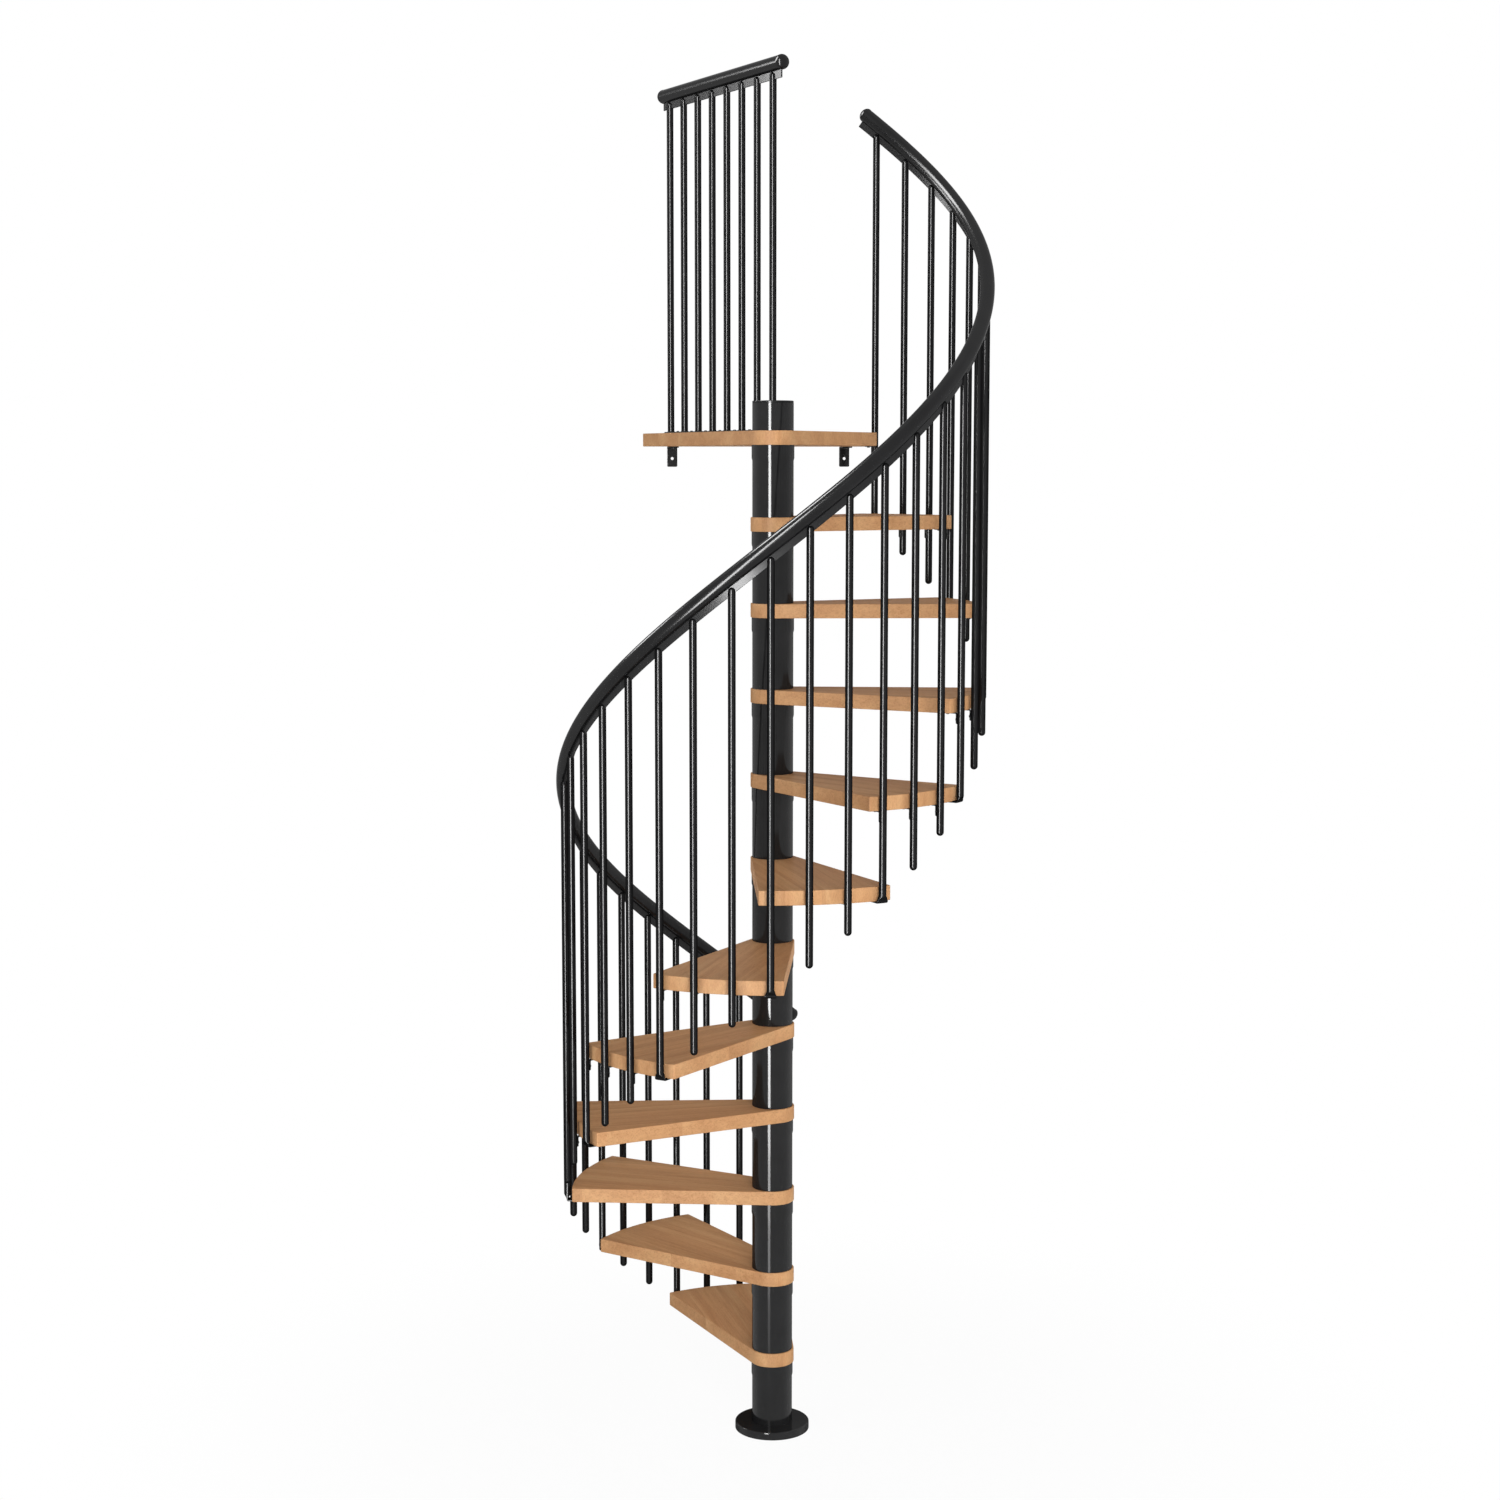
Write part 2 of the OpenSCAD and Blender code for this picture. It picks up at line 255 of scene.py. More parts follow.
def smooth(mesh, sharp):
    mesh.shade_smooth()
    mesh.set_sharp_from_angle(angle=math.radians(sharp))


def shade_upright(mesh):
    """Shades faces that lean out a little as if they stood upright, so that a streak runs on unbroken."""
    least_outward = 0.7
    normals = [Vector((0, 0, 0))] * len(mesh.loops)
    for face in mesh.polygons:
        outward = Vector((face.center.x, face.center.y, 0)).normalized()
        if face.normal.dot(outward) > least_outward:
            for i in face.loop_indices:
                at = mesh.vertices[mesh.loops[i].vertex_index].co
                normals[i] = Vector((at.x, at.y, 0)).normalized()
    mesh.normals_split_custom_set(normals)
    return mesh


def piece(name, mesh, material, slot, *nodes, matrix=None):
    """Puts a mesh into the scene as one piece of the part, in place of the named CAD nodes."""
    obj = bpy.data.objects.new(name, mesh)
    bpy.context.scene.collection.objects.link(obj)
    mesh.materials.clear()
    mesh.materials.append(material)
    if matrix:
        obj.matrix_world = matrix
    bpy.context.view_layer.update()
    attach(obj, "root")
    if nodes:
        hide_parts(*nodes)


def shape_piece(name, shape, material, slot, *nodes, matrix=None, sharp=SHARP):
    piece(name, shape.mesh(name, sharp), material, slot, *nodes, matrix=matrix)


def circle(radius, z, sides):
    turns = [2 * math.pi * i / sides for i in range(sides)]
    return [(radius * math.cos(t), radius * math.sin(t), z) for t in turns]


def loft(rings, closed=False, caps=True):
    """Faces between rings of points that turn left about the way they go; a ring of one point is a pole."""
    verts = []
    faces = []
    starts = []
    for ring in rings:
        starts.append(len(verts))
        verts += [tuple(p) for p in ring]
    pairs = list(zip(range(len(rings) - 1), range(1, len(rings))))
    if closed:
        pairs.append((len(rings) - 1, 0))
    for a, b in pairs:
        count = max(len(rings[a]), len(rings[b]))
        for i in range(count):
            j = (i + 1) % count
            if len(rings[a]) == 1:
                faces.append((starts[a], starts[b] + j, starts[b] + i))
            elif len(rings[b]) == 1:
                faces.append((starts[a] + i, starts[a] + j, starts[b]))
            else:
                faces.append((starts[a] + i, starts[a] + j, starts[b] + j, starts[b] + i))
    if caps and not closed:
        if len(rings[0]) > 1:
            faces.append(tuple(reversed(range(starts[0], starts[0] + len(rings[0])))))
        if len(rings[-1]) > 1:
            faces.append(tuple(range(starts[-1], starts[-1] + len(rings[-1]))))
    return verts, faces


def lathe(profile, sides, closed=False):
    rings = [circle(r, z, sides) if r > NEARLY_ZERO else [(0, 0, z)] for r, z in profile]
    return loft(rings, closed)


def quarter(middle, radius, start, steps=4):
    """Points of a quarter turn in a profile, from the start angle on."""
    turns = [math.radians(start + 90 * i / steps) for i in range(steps + 1)]
    return [(middle[0] + radius * math.cos(t), middle[1] + radius * math.sin(t)) for t in turns]


def ring_profile(inner, outer, low, high, edge):
    return ([(inner, low)]
            + quarter((outer - edge, low + edge), edge, -90)
            + quarter((outer - edge, high - edge), edge, 0)
            + [(inner, high)])


def box_part(low, high):
    (x0, y0, z0), (x1, y1, z1) = low, high
    return loft([[(x0, y0, z0), (x1, y0, z0), (x1, y1, z0), (x0, y1, z0)],
                 [(x0, y0, z1), (x1, y0, z1), (x1, y1, z1), (x0, y1, z1)]])


def carved(mesh, cutter):
    """The mesh with the cutter's shape taken out of it."""
    body = bpy.data.objects.new("carve_body", mesh)
    tool = bpy.data.objects.new("carve_tool", cutter.mesh("carve_tool"))
    for obj in (body, tool):
        bpy.context.scene.collection.objects.link(obj)
    cut = body.modifiers.new("cut", "BOOLEAN")
    cut.operation = "DIFFERENCE"
    cut.solver = "EXACT"
    cut.object = tool
    graph = bpy.context.evaluated_depsgraph_get()
    result = bpy.data.meshes.new_from_object(body.evaluated_get(graph))
    for obj in (body, tool):
        old = obj.data
        bpy.data.objects.remove(obj)
        bpy.data.meshes.remove(old)
    smooth(result, SHARP)
    return result


def section(half_t, half_w, power, sides):
    """Points from a circle (power 2) to a bar with rounded corners (higher powers)."""
    points = []
    for i in range(sides):
        c = math.cos(2 * math.pi * i / sides)
        s = math.sin(2 * math.pi * i / sides)
        points.append((half_t * math.copysign(abs(c) ** (2 / power), c),
                       half_w * math.copysign(abs(s) ** (2 / power), s)))
    return points


def bar_rings(stations, sides):
    """Rings along a path in the X-Z plane, from stations (x, z, heading, half_t, half_w, power)."""
    rings = []
    for x, z, heading, half_t, half_w, power in stations:
        dx = math.cos(math.radians(heading))
        dz = math.sin(math.radians(heading))
        rings.append([(x + n * dz, w, z - n * dx) for n, w in section(half_t, half_w, power, sides)])
    return rings


def tip_sections(tip, half_t, half_w):
    """Rounded end of a bar, from rows: distance from the end, share of half_t, lack of half_w, power."""
    return [(at, share * half_t, half_w - lack, power) for at, share, lack, power in tip]


# Materials

class Nodes:
    """Short ways to add shader nodes to one material."""

    def __init__(self, name):
        self.material = bpy.data.materials.new(name)
        self.material.use_nodes = True
        self.tree = self.material.node_tree
        self.bsdf = self.tree.nodes["Principled BSDF"]

    def new(self, kind, **values):
        node = self.tree.nodes.new(kind)
        for key, value in values.items():
            setattr(node, key, value)
        return node

    def link(self, source, target):
        self.tree.links.new(source, target)

    def math(self, operation, a, b=None):
        node = self.new("ShaderNodeMath", operation=operation)
        for socket, value in zip(node.inputs, (a, b)):
            if isinstance(value, (int, float)):
                socket.default_value = value
            elif value is not None:
                self.link(value, socket)
        return node.outputs[0]

    def axis(self, vector, name):
        node = self.new("ShaderNodeSeparateXYZ")
        self.link(vector, node.inputs[0])
        return node.outputs[name]

    def joined(self, *values):
        node = self.new("ShaderNodeCombineXYZ")
        for socket, value in zip(node.inputs, values):
            self.link(value, socket)
        return node.outputs[0]

    def add_scaled(self, start, vector, scale):
        node = self.new("ShaderNodeVectorMath", operation="MULTIPLY_ADD")
        self.link(vector, node.inputs[0])
        node.inputs[1].default_value = scale
        self.link(start, node.inputs[2])
        return node.outputs[0]

    def scaled(self, vector, scale):
        node = self.new("ShaderNodeMapping")
        node.inputs["Scale"].default_value = scale
        self.link(vector, node.inputs["Vector"])
        return node.outputs[0]

    def noise(self, vector, scale, detail, distortion=0.0):
        node = self.new("ShaderNodeTexNoise")
        node.inputs["Scale"].default_value = scale
        node.inputs["Detail"].default_value = detail
        node.inputs["Distortion"].default_value = distortion
        self.link(vector, node.inputs["Vector"])
        return node.outputs["Fac"]

    def ramp(self, value, *stops):
        node = self.new("ShaderNodeValToRGB")
        while len(node.color_ramp.elements) < len(stops):
            node.color_ramp.elements.new(0.5)
        for element, (position, colour) in zip(node.color_ramp.elements, stops):
            element.position = position
            element.color = (*colour, 1)
        self.link(value, node.inputs[0])
        return node.outputs[0]

    def multiplied(self, colour, tint, share):
        node = self.new("ShaderNodeMix", data_type="RGBA", blend_type="MULTIPLY")
        node.inputs[0].default_value = share
        self.link(colour, node.inputs[6])
        self.link(tint, node.inputs[7])
        return node.outputs[2]

    def span(self, value, low, high):
        node = self.new("ShaderNodeMapRange")
        node.inputs["To Min"].default_value = low
        node.inputs["To Max"].default_value = high
        self.link(value, node.inputs["Value"])
        return node.outputs[0]

    def bump(self, height, strength, distance):
        node = self.new("ShaderNodeBump")
        node.inputs["Strength"].default_value = strength
        node.inputs["Distance"].default_value = distance
        self.link(height, node.inputs["Height"])
        self.link(node.outputs[0], self.bsdf.inputs["Normal"])

    def gloss(self, *stops):
        """Sets the gloss by how far a surface turns away from the eye: 0 faces it, 1 is edge-on."""
        facing = self.new("ShaderNodeLayerWeight").outputs["Facing"]
        level = self.ramp(facing, *[(at, (gloss, gloss, gloss)) for at, gloss in stops])
        self.link(level, self.bsdf.inputs["Specular IOR Level"])


def srgb(*levels):
    """A colour given as 0-255 screen values, as linear light."""
    shares = [level / 255 for level in levels]
    return tuple(v / 12.92 if v < 0.0404 else ((v + 0.055) / 1.055) ** 2.4 for v in shares)


WHITE = (1, 1, 1)
DARK_BEECH = srgb(196, 146, 103)
BEECH = srgb(208, 159, 114)
LIGHT_BEECH = srgb(216, 170, 124)
FIBRE_TINT = (0.80, 0.76, 0.70)
PORE_TINT = (0.62, 0.52, 0.42)
STAVE_W = 0.047
STAVE_START = 0.35
STAVE_TONES = (0.93, 1.05)
# The grain is moved by a board's place times the first, and by a stave's random colour times the second
BOARD_SHIFT = (0, 0, 7.3)
STAVE_SHIFT = (3, 1, 1)
# How fine the figure is along a board, across it and through it
BAND_SCALE = (1.3, 26, 10)
FIBRE_SCALE = (9, 330, 120)
PORE_SCALE = (55, 900, 300)
WOOD_ROUGH = (0.44, 0.60)
WOOD_BUMP = 0.25
WOOD_DEPTH = 0.0004


def make_wood():
    """Varnished beech glued up from staves; the grain runs along each board's own X."""
    n = Nodes("beech")
    place = n.new("ShaderNodeTexCoord").outputs["Object"]
    home = n.new("ShaderNodeObjectInfo").outputs["Location"]
    row = n.math("FLOOR", n.math("ADD", n.math("DIVIDE", n.axis(place, "Y"), STAVE_W), STAVE_START))
    stave = n.new("ShaderNodeTexWhiteNoise", noise_dimensions="2D")
    n.link(n.joined(row, n.axis(home, "Z")), stave.inputs["Vector"])
    grain = n.add_scaled(place, home, BOARD_SHIFT)
    grain = n.add_scaled(grain, stave.outputs["Color"], STAVE_SHIFT)

    bands = n.noise(n.scaled(grain, BAND_SCALE), 1.0, 3.0, 0.6)
    fibres = n.noise(n.scaled(grain, FIBRE_SCALE), 1.0, 3.0)
    pores = n.noise(n.scaled(grain, PORE_SCALE), 1.0, 1.0)

    tone = n.span(stave.outputs["Value"], *STAVE_TONES)
    base = n.ramp(bands, (0.30, DARK_BEECH), (0.52, BEECH), (0.72, LIGHT_BEECH))
    base = n.multiplied(base, n.joined(tone, tone, tone), 1.0)
    base = n.multiplied(base, n.ramp(fibres, (0.32, FIBRE_TINT), (0.62, WHITE)), 0.55)
    base = n.multiplied(base, n.ramp(pores, (0.36, PORE_TINT), (0.46, WHITE)), 0.35)
    n.link(base, n.bsdf.inputs["Base Color"])
    n.link(n.span(fibres, *WOOD_ROUGH), n.bsdf.inputs["Roughness"])
    n.gloss((0.0, 0.05), (0.5, 0.04), (0.70, 0.008), (0.80, 0.018), (0.90, 0.012))
    n.bump(n.math("ADD", fibres, n.math("MULTIPLY", pores, 0.5)), WOOD_BUMP, WOOD_DEPTH)
    return n.material


CLOUD_SCALE = 14
CLOUD_TONES = (0.85, 1.15)
CLOUD_ROUGH = 0.02
PEEL_SCALE = 420
PEEL_DEPTH = 0.0002


def make_black(name, colour, rough, peel, *gloss):
    """Glossy black finish, faintly uneven, whose gloss fades towards the edges of a round piece."""
    n = Nodes(name)
    place = n.new("ShaderNodeTexCoord").outputs["Object"]
    cloud = n.noise(place, CLOUD_SCALE, 3.0)
    fine = n.noise(place, PEEL_SCALE, 2.0)
    dark, light = (tuple(tone * c for c in colour) for tone in CLOUD_TONES)
    n.link(n.ramp(cloud, (0.3, dark), (0.7, light)), n.bsdf.inputs["Base Color"])
    n.link(n.span(cloud, rough - CLOUD_ROUGH, rough + CLOUD_ROUGH), n.bsdf.inputs["Roughness"])
    n.gloss(*gloss)
    n.bump(fine, peel, PEEL_DEPTH)
    return n.material


WOOD = make_wood()
# Column, brackets, screws and foot bar
STEEL = make_black("black_paint", (0.0125, 0.0125, 0.013), 0.09, 0.004,
                   (0.0, 0.21), (0.40, 0.21), (0.50, 0.15), (0.60, 0.08), (0.70, 0.025), (0.85, 0.0))
# Base plate
BASE = make_black("black_base", (0.017, 0.017, 0.0176), 0.10, 0.004,
                  (0.0, 0.17), (0.40, 0.17), (0.52, 0.06), (0.60, 0.015), (0.64, 0.007), (0.85, 0.0))
# Balusters
ROD = make_black("black_tube", (0.006, 0.006, 0.0064), 0.16, 0.0,
                 (0.0, 0.20), (0.10, 0.17), (0.25, 0.03), (0.45, 0.01), (0.65, 0.0))
# Handrails and the column's lid
PLASTIC = make_black("black_rail", (0.009, 0.009, 0.0095), 0.19, 0.0,
                     (0.0, 0.17), (0.35, 0.17), (0.50, 0.07), (0.65, 0.02), (0.80, 0.01))
# Strips under the helical and the landing handrail
STRIP_GLOSS = ((0.0, 0.18), (0.30, 0.18), (0.60, 0.06), (0.80, 0.0))
STRIP = make_black("black_strip", (0.013, 0.013, 0.0136), 0.26, 0.01, *STRIP_GLOSS)
FLAT = make_black("black_flat", (0.011, 0.011, 0.0115), 0.16, 0.01, *STRIP_GLOSS)


# Column

COLUMN_SIDES = 128
# How far past the lower and the upper rounding of a disc its extra rings lie
BASE_SUPPORT = (0.0005, 0.0005)
CAP_SUPPORT = (0.0004, 0.0005)


def disc_profile(radius, low, high, edges, support, steps=4):
    """A solid disc with rounded edges; rings just past the roundings keep its flat faces evenly shaded."""
    under, over = edges
    low_support, high_support = support
    return ([(0, low)]
            + quarter((radius - under, low + under), under, -90)
            + [(radius, low + under + low_support), (radius, high - over - high_support)]
            + quarter((radius - over, high - over), over, 0, steps)
            + [(radius - over - high_support, high), (0, high)])


base_profile = disc_profile(BASE_R, 0, BASE_H, BASE_EDGES, BASE_SUPPORT, 6)
base = Shape().add(lathe(base_profile, COLUMN_SIDES))
shape_piece("base_disc", base, BASE, "black_steel", "base_plate")

sleeves = Shape()
collars = Shape()
cap_low = COLUMN_TOP - CAP_H
levels = [BASE_H] + [k * RISE for k in range(1, TREADS + 2)]
tops = [k * RISE - BOARD_T for k in range(1, TREADS + 2)] + [cap_low]
for low, high in zip(levels, tops):
    profile = ring_profile(COLUMN_R - SLEEVE_WALL, COLUMN_R, low, high, SLEEVE_EDGE)
    sleeves.add(lathe(profile, COLUMN_SIDES, closed=True))
inner = COLUMN_R + FIT
outer = inner + COLLAR_WALL
for high in tops[:-1]:
    low = high - COLLAR_H
    profile = [(inner, low), (inner + COLLAR_LIP, low), (outer, low + COLLAR_TAPER)]
    profile += quarter((outer - COLLAR_EDGE, high - COLLAR_EDGE), COLLAR_EDGE, 0) + [(inner, high)]
    collars.add(lathe(profile, COLUMN_SIDES, closed=True))
piece("column_sleeves", shade_upright(sleeves.mesh("column_sleeves")), STEEL, "black_steel", "spacer_sleeves")
piece("column_collars", shade_upright(collars.mesh("column_collars")), STEEL, "black_steel", "sleeve_collars")

cap_profile = disc_profile(COLUMN_R, cap_low, COLUMN_TOP, CAP_EDGES, CAP_SUPPORT)
cap = Shape().add(lathe(cap_profile, COLUMN_SIDES))
shape_piece("column_lid", cap, PLASTIC, "black_plastic", "column_cap")


# Wooden boards

OUTER_STEPS = 30
NOSE_STEPS = 40
NOTCH_STEPS = 16
CORNER_STEPS = 8
EDGE_STEPS = 4
BORE_SIDES = 48
# How much of the outer arc each rounded corner takes, in reaches of the corner
CORNER_TRIM = 1.4
# Where the extra rings past a board's rounded edges lie, in radii of the edge
EDGE_SUPPORT = 1.25
# Keeps an inset point near its corner where the outline turns sharply
LEAST_MITRE = 0.5


def polar(radius, angle):
    return Vector((radius * math.cos(math.radians(angle)), radius * math.sin(math.radians(angle))))


def arc(radius, start, end, steps):
    return [polar(radius, start + (end - start) * i / steps) for i in range(steps + 1)]


def nose_turn(radius):
    """Angle at the column between a board's corner and the point where its side meets the nose."""
    return math.degrees(math.acos(NOSE_R / radius))


def corner_reach(turn):
    return CORNER_R * math.tan(math.radians(turn / 2))


def corner_arc(corner, heading, turn):
    middle = corner - polar(corner_reach(turn), heading) + polar(CORNER_R, heading + 90)
    return [middle + p for p in arc(CORNER_R, heading - 90, heading - 90 + turn, CORNER_STEPS)]


def heading_of(way):
    return math.degrees(math.atan2(way.y, way.x))


def tread_outline():
    turn = nose_turn(BOARD_R)
    trim = CORNER_TRIM * math.degrees(corner_reach(turn) / BOARD_R)
    return (corner_arc(polar(BOARD_R, -BOARD_HALF), 90 - turn - BOARD_HALF, turn)
            + arc(BOARD_R, trim - BOARD_HALF, BOARD_HALF - trim, OUTER_STEPS)
            + corner_arc(polar(BOARD_R, BOARD_HALF), BOARD_HALF + 90, turn)
            + arc(NOSE_R, BOARD_HALF + turn, 360 - BOARD_HALF - turn, NOSE_STEPS))


def notch_arc(front, way):
    """The notch around the last baluster in the platform's right side, which starts at its front corner."""
    post = polar(RING_R, foot_angle(TREADS))
    along = (post - front).dot(way)
    across = post - front - along * way
    half = math.sqrt(NOTCH_R ** 2 - across.length ** 2)
    enter = heading_of(front + (along - half) * way - post)
    leave = heading_of(front + (along + half) * way - post)
    while leave > enter:
        leave -= 360
    return [post + p for p in arc(NOTCH_R, enter, leave, NOTCH_STEPS)]


def platform_outline():
    front_angle = foot_angle(TREADS) - 360 - PLATFORM_FRONT_LEAD
    front = polar(PLATFORM_FRONT_R, front_angle)
    right = Vector((PLATFORM_W - PLATFORM_LEFT, PLATFORM_BACK))
    left = Vector((-PLATFORM_LEFT, PLATFORM_BACK))
    front_turn = nose_turn(PLATFORM_FRONT_R)
    left_turn = nose_turn(left.length)
    left_angle = heading_of(left)
    front_heading = front_angle + 90 - front_turn
    side = right - front
    side_heading = heading_of(side)
    return (corner_arc(front, front_heading, side_heading - front_heading)
            + notch_arc(front, side.normalized())
            + corner_arc(right, side_heading, 180 - side_heading)
            + corner_arc(left, 180, left_angle + left_turn - 90)
            + arc(NOSE_R, left_angle + left_turn, 360 + front_angle - front_turn, NOSE_STEPS))


def inset(outline, depth):
    """The outline drawn in by depth, corner by corner."""
    drawn_in = []
    for i, p in enumerate(outline):
        before = (p - outline[i - 1]).normalized()
        after = (outline[(i + 1) % len(outline)] - p).normalized()
        inward = Vector((-before.y, before.x))
        normal = (inward + Vector((-after.y, after.x))).normalized()
        drawn_in.append(p + normal * depth / max(LEAST_MITRE, normal.dot(inward)))
    return drawn_in


def board_steps():
    """Depth and height of each ring around a board's rounded edges, from its underside up."""
    e = BOARD_EDGE
    past = e * EDGE_SUPPORT
    turns = [math.radians(90 * i / EDGE_STEPS) for i in range(EDGE_STEPS + 1)]
    under = [(e * (1 - math.sin(t)), -BOARD_T + e * (1 - math.cos(t))) for t in turns]
    over = [(e * (1 - math.cos(t)), -e * (1 - math.sin(t))) for t in turns]
    return [(past, -BOARD_T)] + under + [(0, -BOARD_T + past), (0, -past)] + over + [(past, 0)]


def board(name, outline, matrix, node):
    """A board with softened edges and a bore for the pole, its top at its own Z = 0."""
    to_local = matrix.inverted()
    flat = [(to_local @ Vector((p.x, p.y, 0))).xy for p in outline]
    rings = [[(p.x, p.y, z) for p in inset(flat, depth)] for depth, z in board_steps()]
    verts, faces = loft(rings, caps=False)
    bore_low = circle(POLE_R + FIT, -BOARD_T, BORE_SIDES)
    bore_high = circle(POLE_R + FIT, 0, BORE_SIDES)
    count = len(flat)
    low_start = len(verts)
    high_start = low_start + BORE_SIDES
    verts = verts + bore_low + bore_high
    for i in range(BORE_SIDES):
        j = (i + 1) % BORE_SIDES
        faces.append((low_start + j, low_start + i, high_start + i, high_start + j))
    for ring, ring_start, hole, hole_start in (
            (rings[0], 0, bore_low, low_start),
            (rings[-1], (len(rings) - 1) * count, bore_high, high_start)):
        index = [ring_start + i for i in range(count)] + [hole_start + i for i in range(BORE_SIDES)]
        for triangle in tessellate_polygon([[Vector(p) for p in ring], [Vector(p) for p in hole]]):
            faces.append(tuple(index[i] for i in triangle))
    shape_piece(name, Shape().add((verts, faces)), WOOD, "wood", node, matrix=matrix)


for k in range(1, TREADS + 1):
    turn = turned(foot_angle(k) - FOOT_LEAD)
    outline = [(turn @ Vector((p.x, p.y, 0))).xy for p in tread_outline()]
    board(f"board_{k:02d}", outline, shifted(0, 0, k * RISE) @ turn, f"tread_{k:02d}")
board("board_landing", platform_outline(), shifted(0, 0, PLATFORM_Z) @ turned(90), "platform")


# Balusters

SIDES = 32
DOME_STEPS = 6
BEND_STEPS = 6
TAPER_STEPS = 8
ROUND_POWER = 2
FLAT_POWER = 9
# Rounded end of a foot's tab, as rows for tip_sections
TAB_TIP = ((0, 0.6, 0.005, 4), (0.0008, 1, 0.003, 5), (0.004, 1, 0, FLAT_POWER))
# Straight stretch of the tab beside its bend
FOOT_RUN = 0.002
# Weld at a rod's lower end: how far it stands out, and at what height
START_WELD = ((0.003, 0), (0.0012, 0.0009), (0, 0.0035))
LANDING_WELD = ((0.0022, 0), (0.0008, 0.0008), (0, 0.003))
SLOT_REACH = 0.05
SLOT_ABOVE = 0.03


def dome_rings(z, start):
    """Rings of half a ball on a rod: its lower half from -90, its upper half from 0."""
    rings = []
    for i in range(DOME_STEPS + 1):
        t = math.radians(start + 90 * i / DOME_STEPS)
        height = z + BALUSTER_R * math.sin(t)
        if abs(math.cos(t)) < NEARLY_ZERO:
            rings.append([(0, 0, height)])
        else:
            rings.append(circle(BALUSTER_R * math.cos(t), height, SIDES))
    return rings


def rod(length, bottom):
    return loft(bottom + dome_rings(length - BALUSTER_R, 0))


def foot_rings():
    """The flattened end of a tube, from its tab under the board up to the round tube."""
    t = FOOT_T / 2
    w = FOOT_W / 2
    bend = FOOT_BEND + t
    corner = -t - FOOT_BEND
    inner = t - FOOT_TAB
    stations = [(inner + at, t, 0, *size) for at, *size in tip_sections(TAB_TIP, t, w)]
    stations.append((corner - FOOT_RUN, t, 0, t, w, FLAT_POWER))
    for i in range(BEND_STEPS + 1):
        heading = 90 * i / BEND_STEPS
        a = math.radians(heading)
        stations.append((corner + bend * math.sin(a), t + bend * (1 - math.cos(a)), heading,
                         t, w, FLAT_POWER))
    for i in range(TAPER_STEPS + 1):
        f = i / TAPER_STEPS
        ease = f * f * (3 - 2 * f)
        power = FLAT_POWER - (FLAT_POWER - ROUND_POWER) * ease ** 0.5
        stations.append((0, FOOT_FLAT + FOOT_TAPER * f, 90, t + (BALUSTER_R - t) * ease,
                         w + (BALUSTER_R - w) * f, power))
    return bar_rings(stations, SIDES)


def weld_rings(low, weld):
    return [circle(BALUSTER_R + out, low + z, SIDES) for out, z in weld]


def slot_cutter(middle_z, show, tilt):
    """A box that opens a rod's top for the strip, and its place on the rod; the tilt is in radians."""
    low = RAIL_R + show + FIT
    half = STRIP_T / 2 + SLOT_FIT
    box = box_part((-half, -SLOT_REACH, -low), (half, SLOT_REACH, SLOT_ABOVE))
    return box, shifted(0, 0, middle_z) @ Matrix.Rotation(tilt, 4, "X")


def slotted(name, rods, places, slot):
    """The mesh of rods at their places, each with its top opened by the slot."""
    cutter, local = slot
    shape = Shape()
    tool = Shape()
    for part, place in zip(rods, places):
        shape.add(part, place)
        tool.add(cutter, place @ local)
    return carved(shape.mesh(name), tool)


hanging = rod(BALUSTER_LEN, dome_rings(BALUSTER_R, -90))
footed = rod(BALUSTER_LEN, foot_rings())
helix_slot = slot_cutter(BALUSTER_LEN + TOP_GAP, STRIP_SHOW, SLOPE)
for k in range(1, TREADS + 1):
    angles = [foot_angle(k - 1) + turn for turn in TURNS] + [foot_angle(k)]
    places = [at_ring(angle, baluster_bottom(angle)) for angle in angles]
    mesh = slotted(f"rods_{k:02d}", (hanging, hanging, footed), places, helix_slot)
    piece(f"rods_{k:02d}", mesh, ROD, "black_steel", f"balusters_{k:02d}")

start_len = BALUSTER_LEN - BOARD_T - FOOT_T
start_profile = ((START_FOOT_R - START_FOOT_CHAMFER[0], 0),
                 (START_FOOT_R, START_FOOT_CHAMFER[1]),
                 (START_FOOT_R, START_FOOT_H - START_FOOT_EDGE),
                 (START_FOOT_R - START_FOOT_EDGE, START_FOOT_H))
start_rings = [[(0, 0, 0)]] + [circle(r, z, SIDES) for r, z in start_profile]
start_rings += weld_rings(START_FOOT_H, START_WELD)
start_slot = slot_cutter(start_len + TOP_GAP, STRIP_SHOW, SLOPE)
mesh = slotted("start_rod", [rod(start_len, start_rings)], [at_ring(START, 0)], start_slot)
piece("start_rod", mesh, ROD, "black_steel", "start_baluster")


# Brackets and screws

BRACKET_SIDES = 28
BRACKET_POWER = 10
BRACKET_RUN = 0.001
HOLE_REACH = 0.01
SCREW_SIDES = 24
# Outline of a screw's head, as shares of its radius and height
SCREW_HEAD = ((1, 0), (1, 0.35), (0.93, 0.68), (0.76, 0.9), (0.55, 1))
SOCKET_R = 0.42
SOCKET_RIM = 0.98
SOCKET_FLOOR = 0.35
SOCKET_MIDDLE = 0.3


def bracket_tip(end):
    """Rounded end of a bracket's leg, as rows for tip_sections."""
    return ((0, 0.6, end, 6), (0.0006, 1, 0.8 * end, 8),
            (0.4 * end, 1, 0.25 * end, 9), (end, 1, 0, BRACKET_POWER))


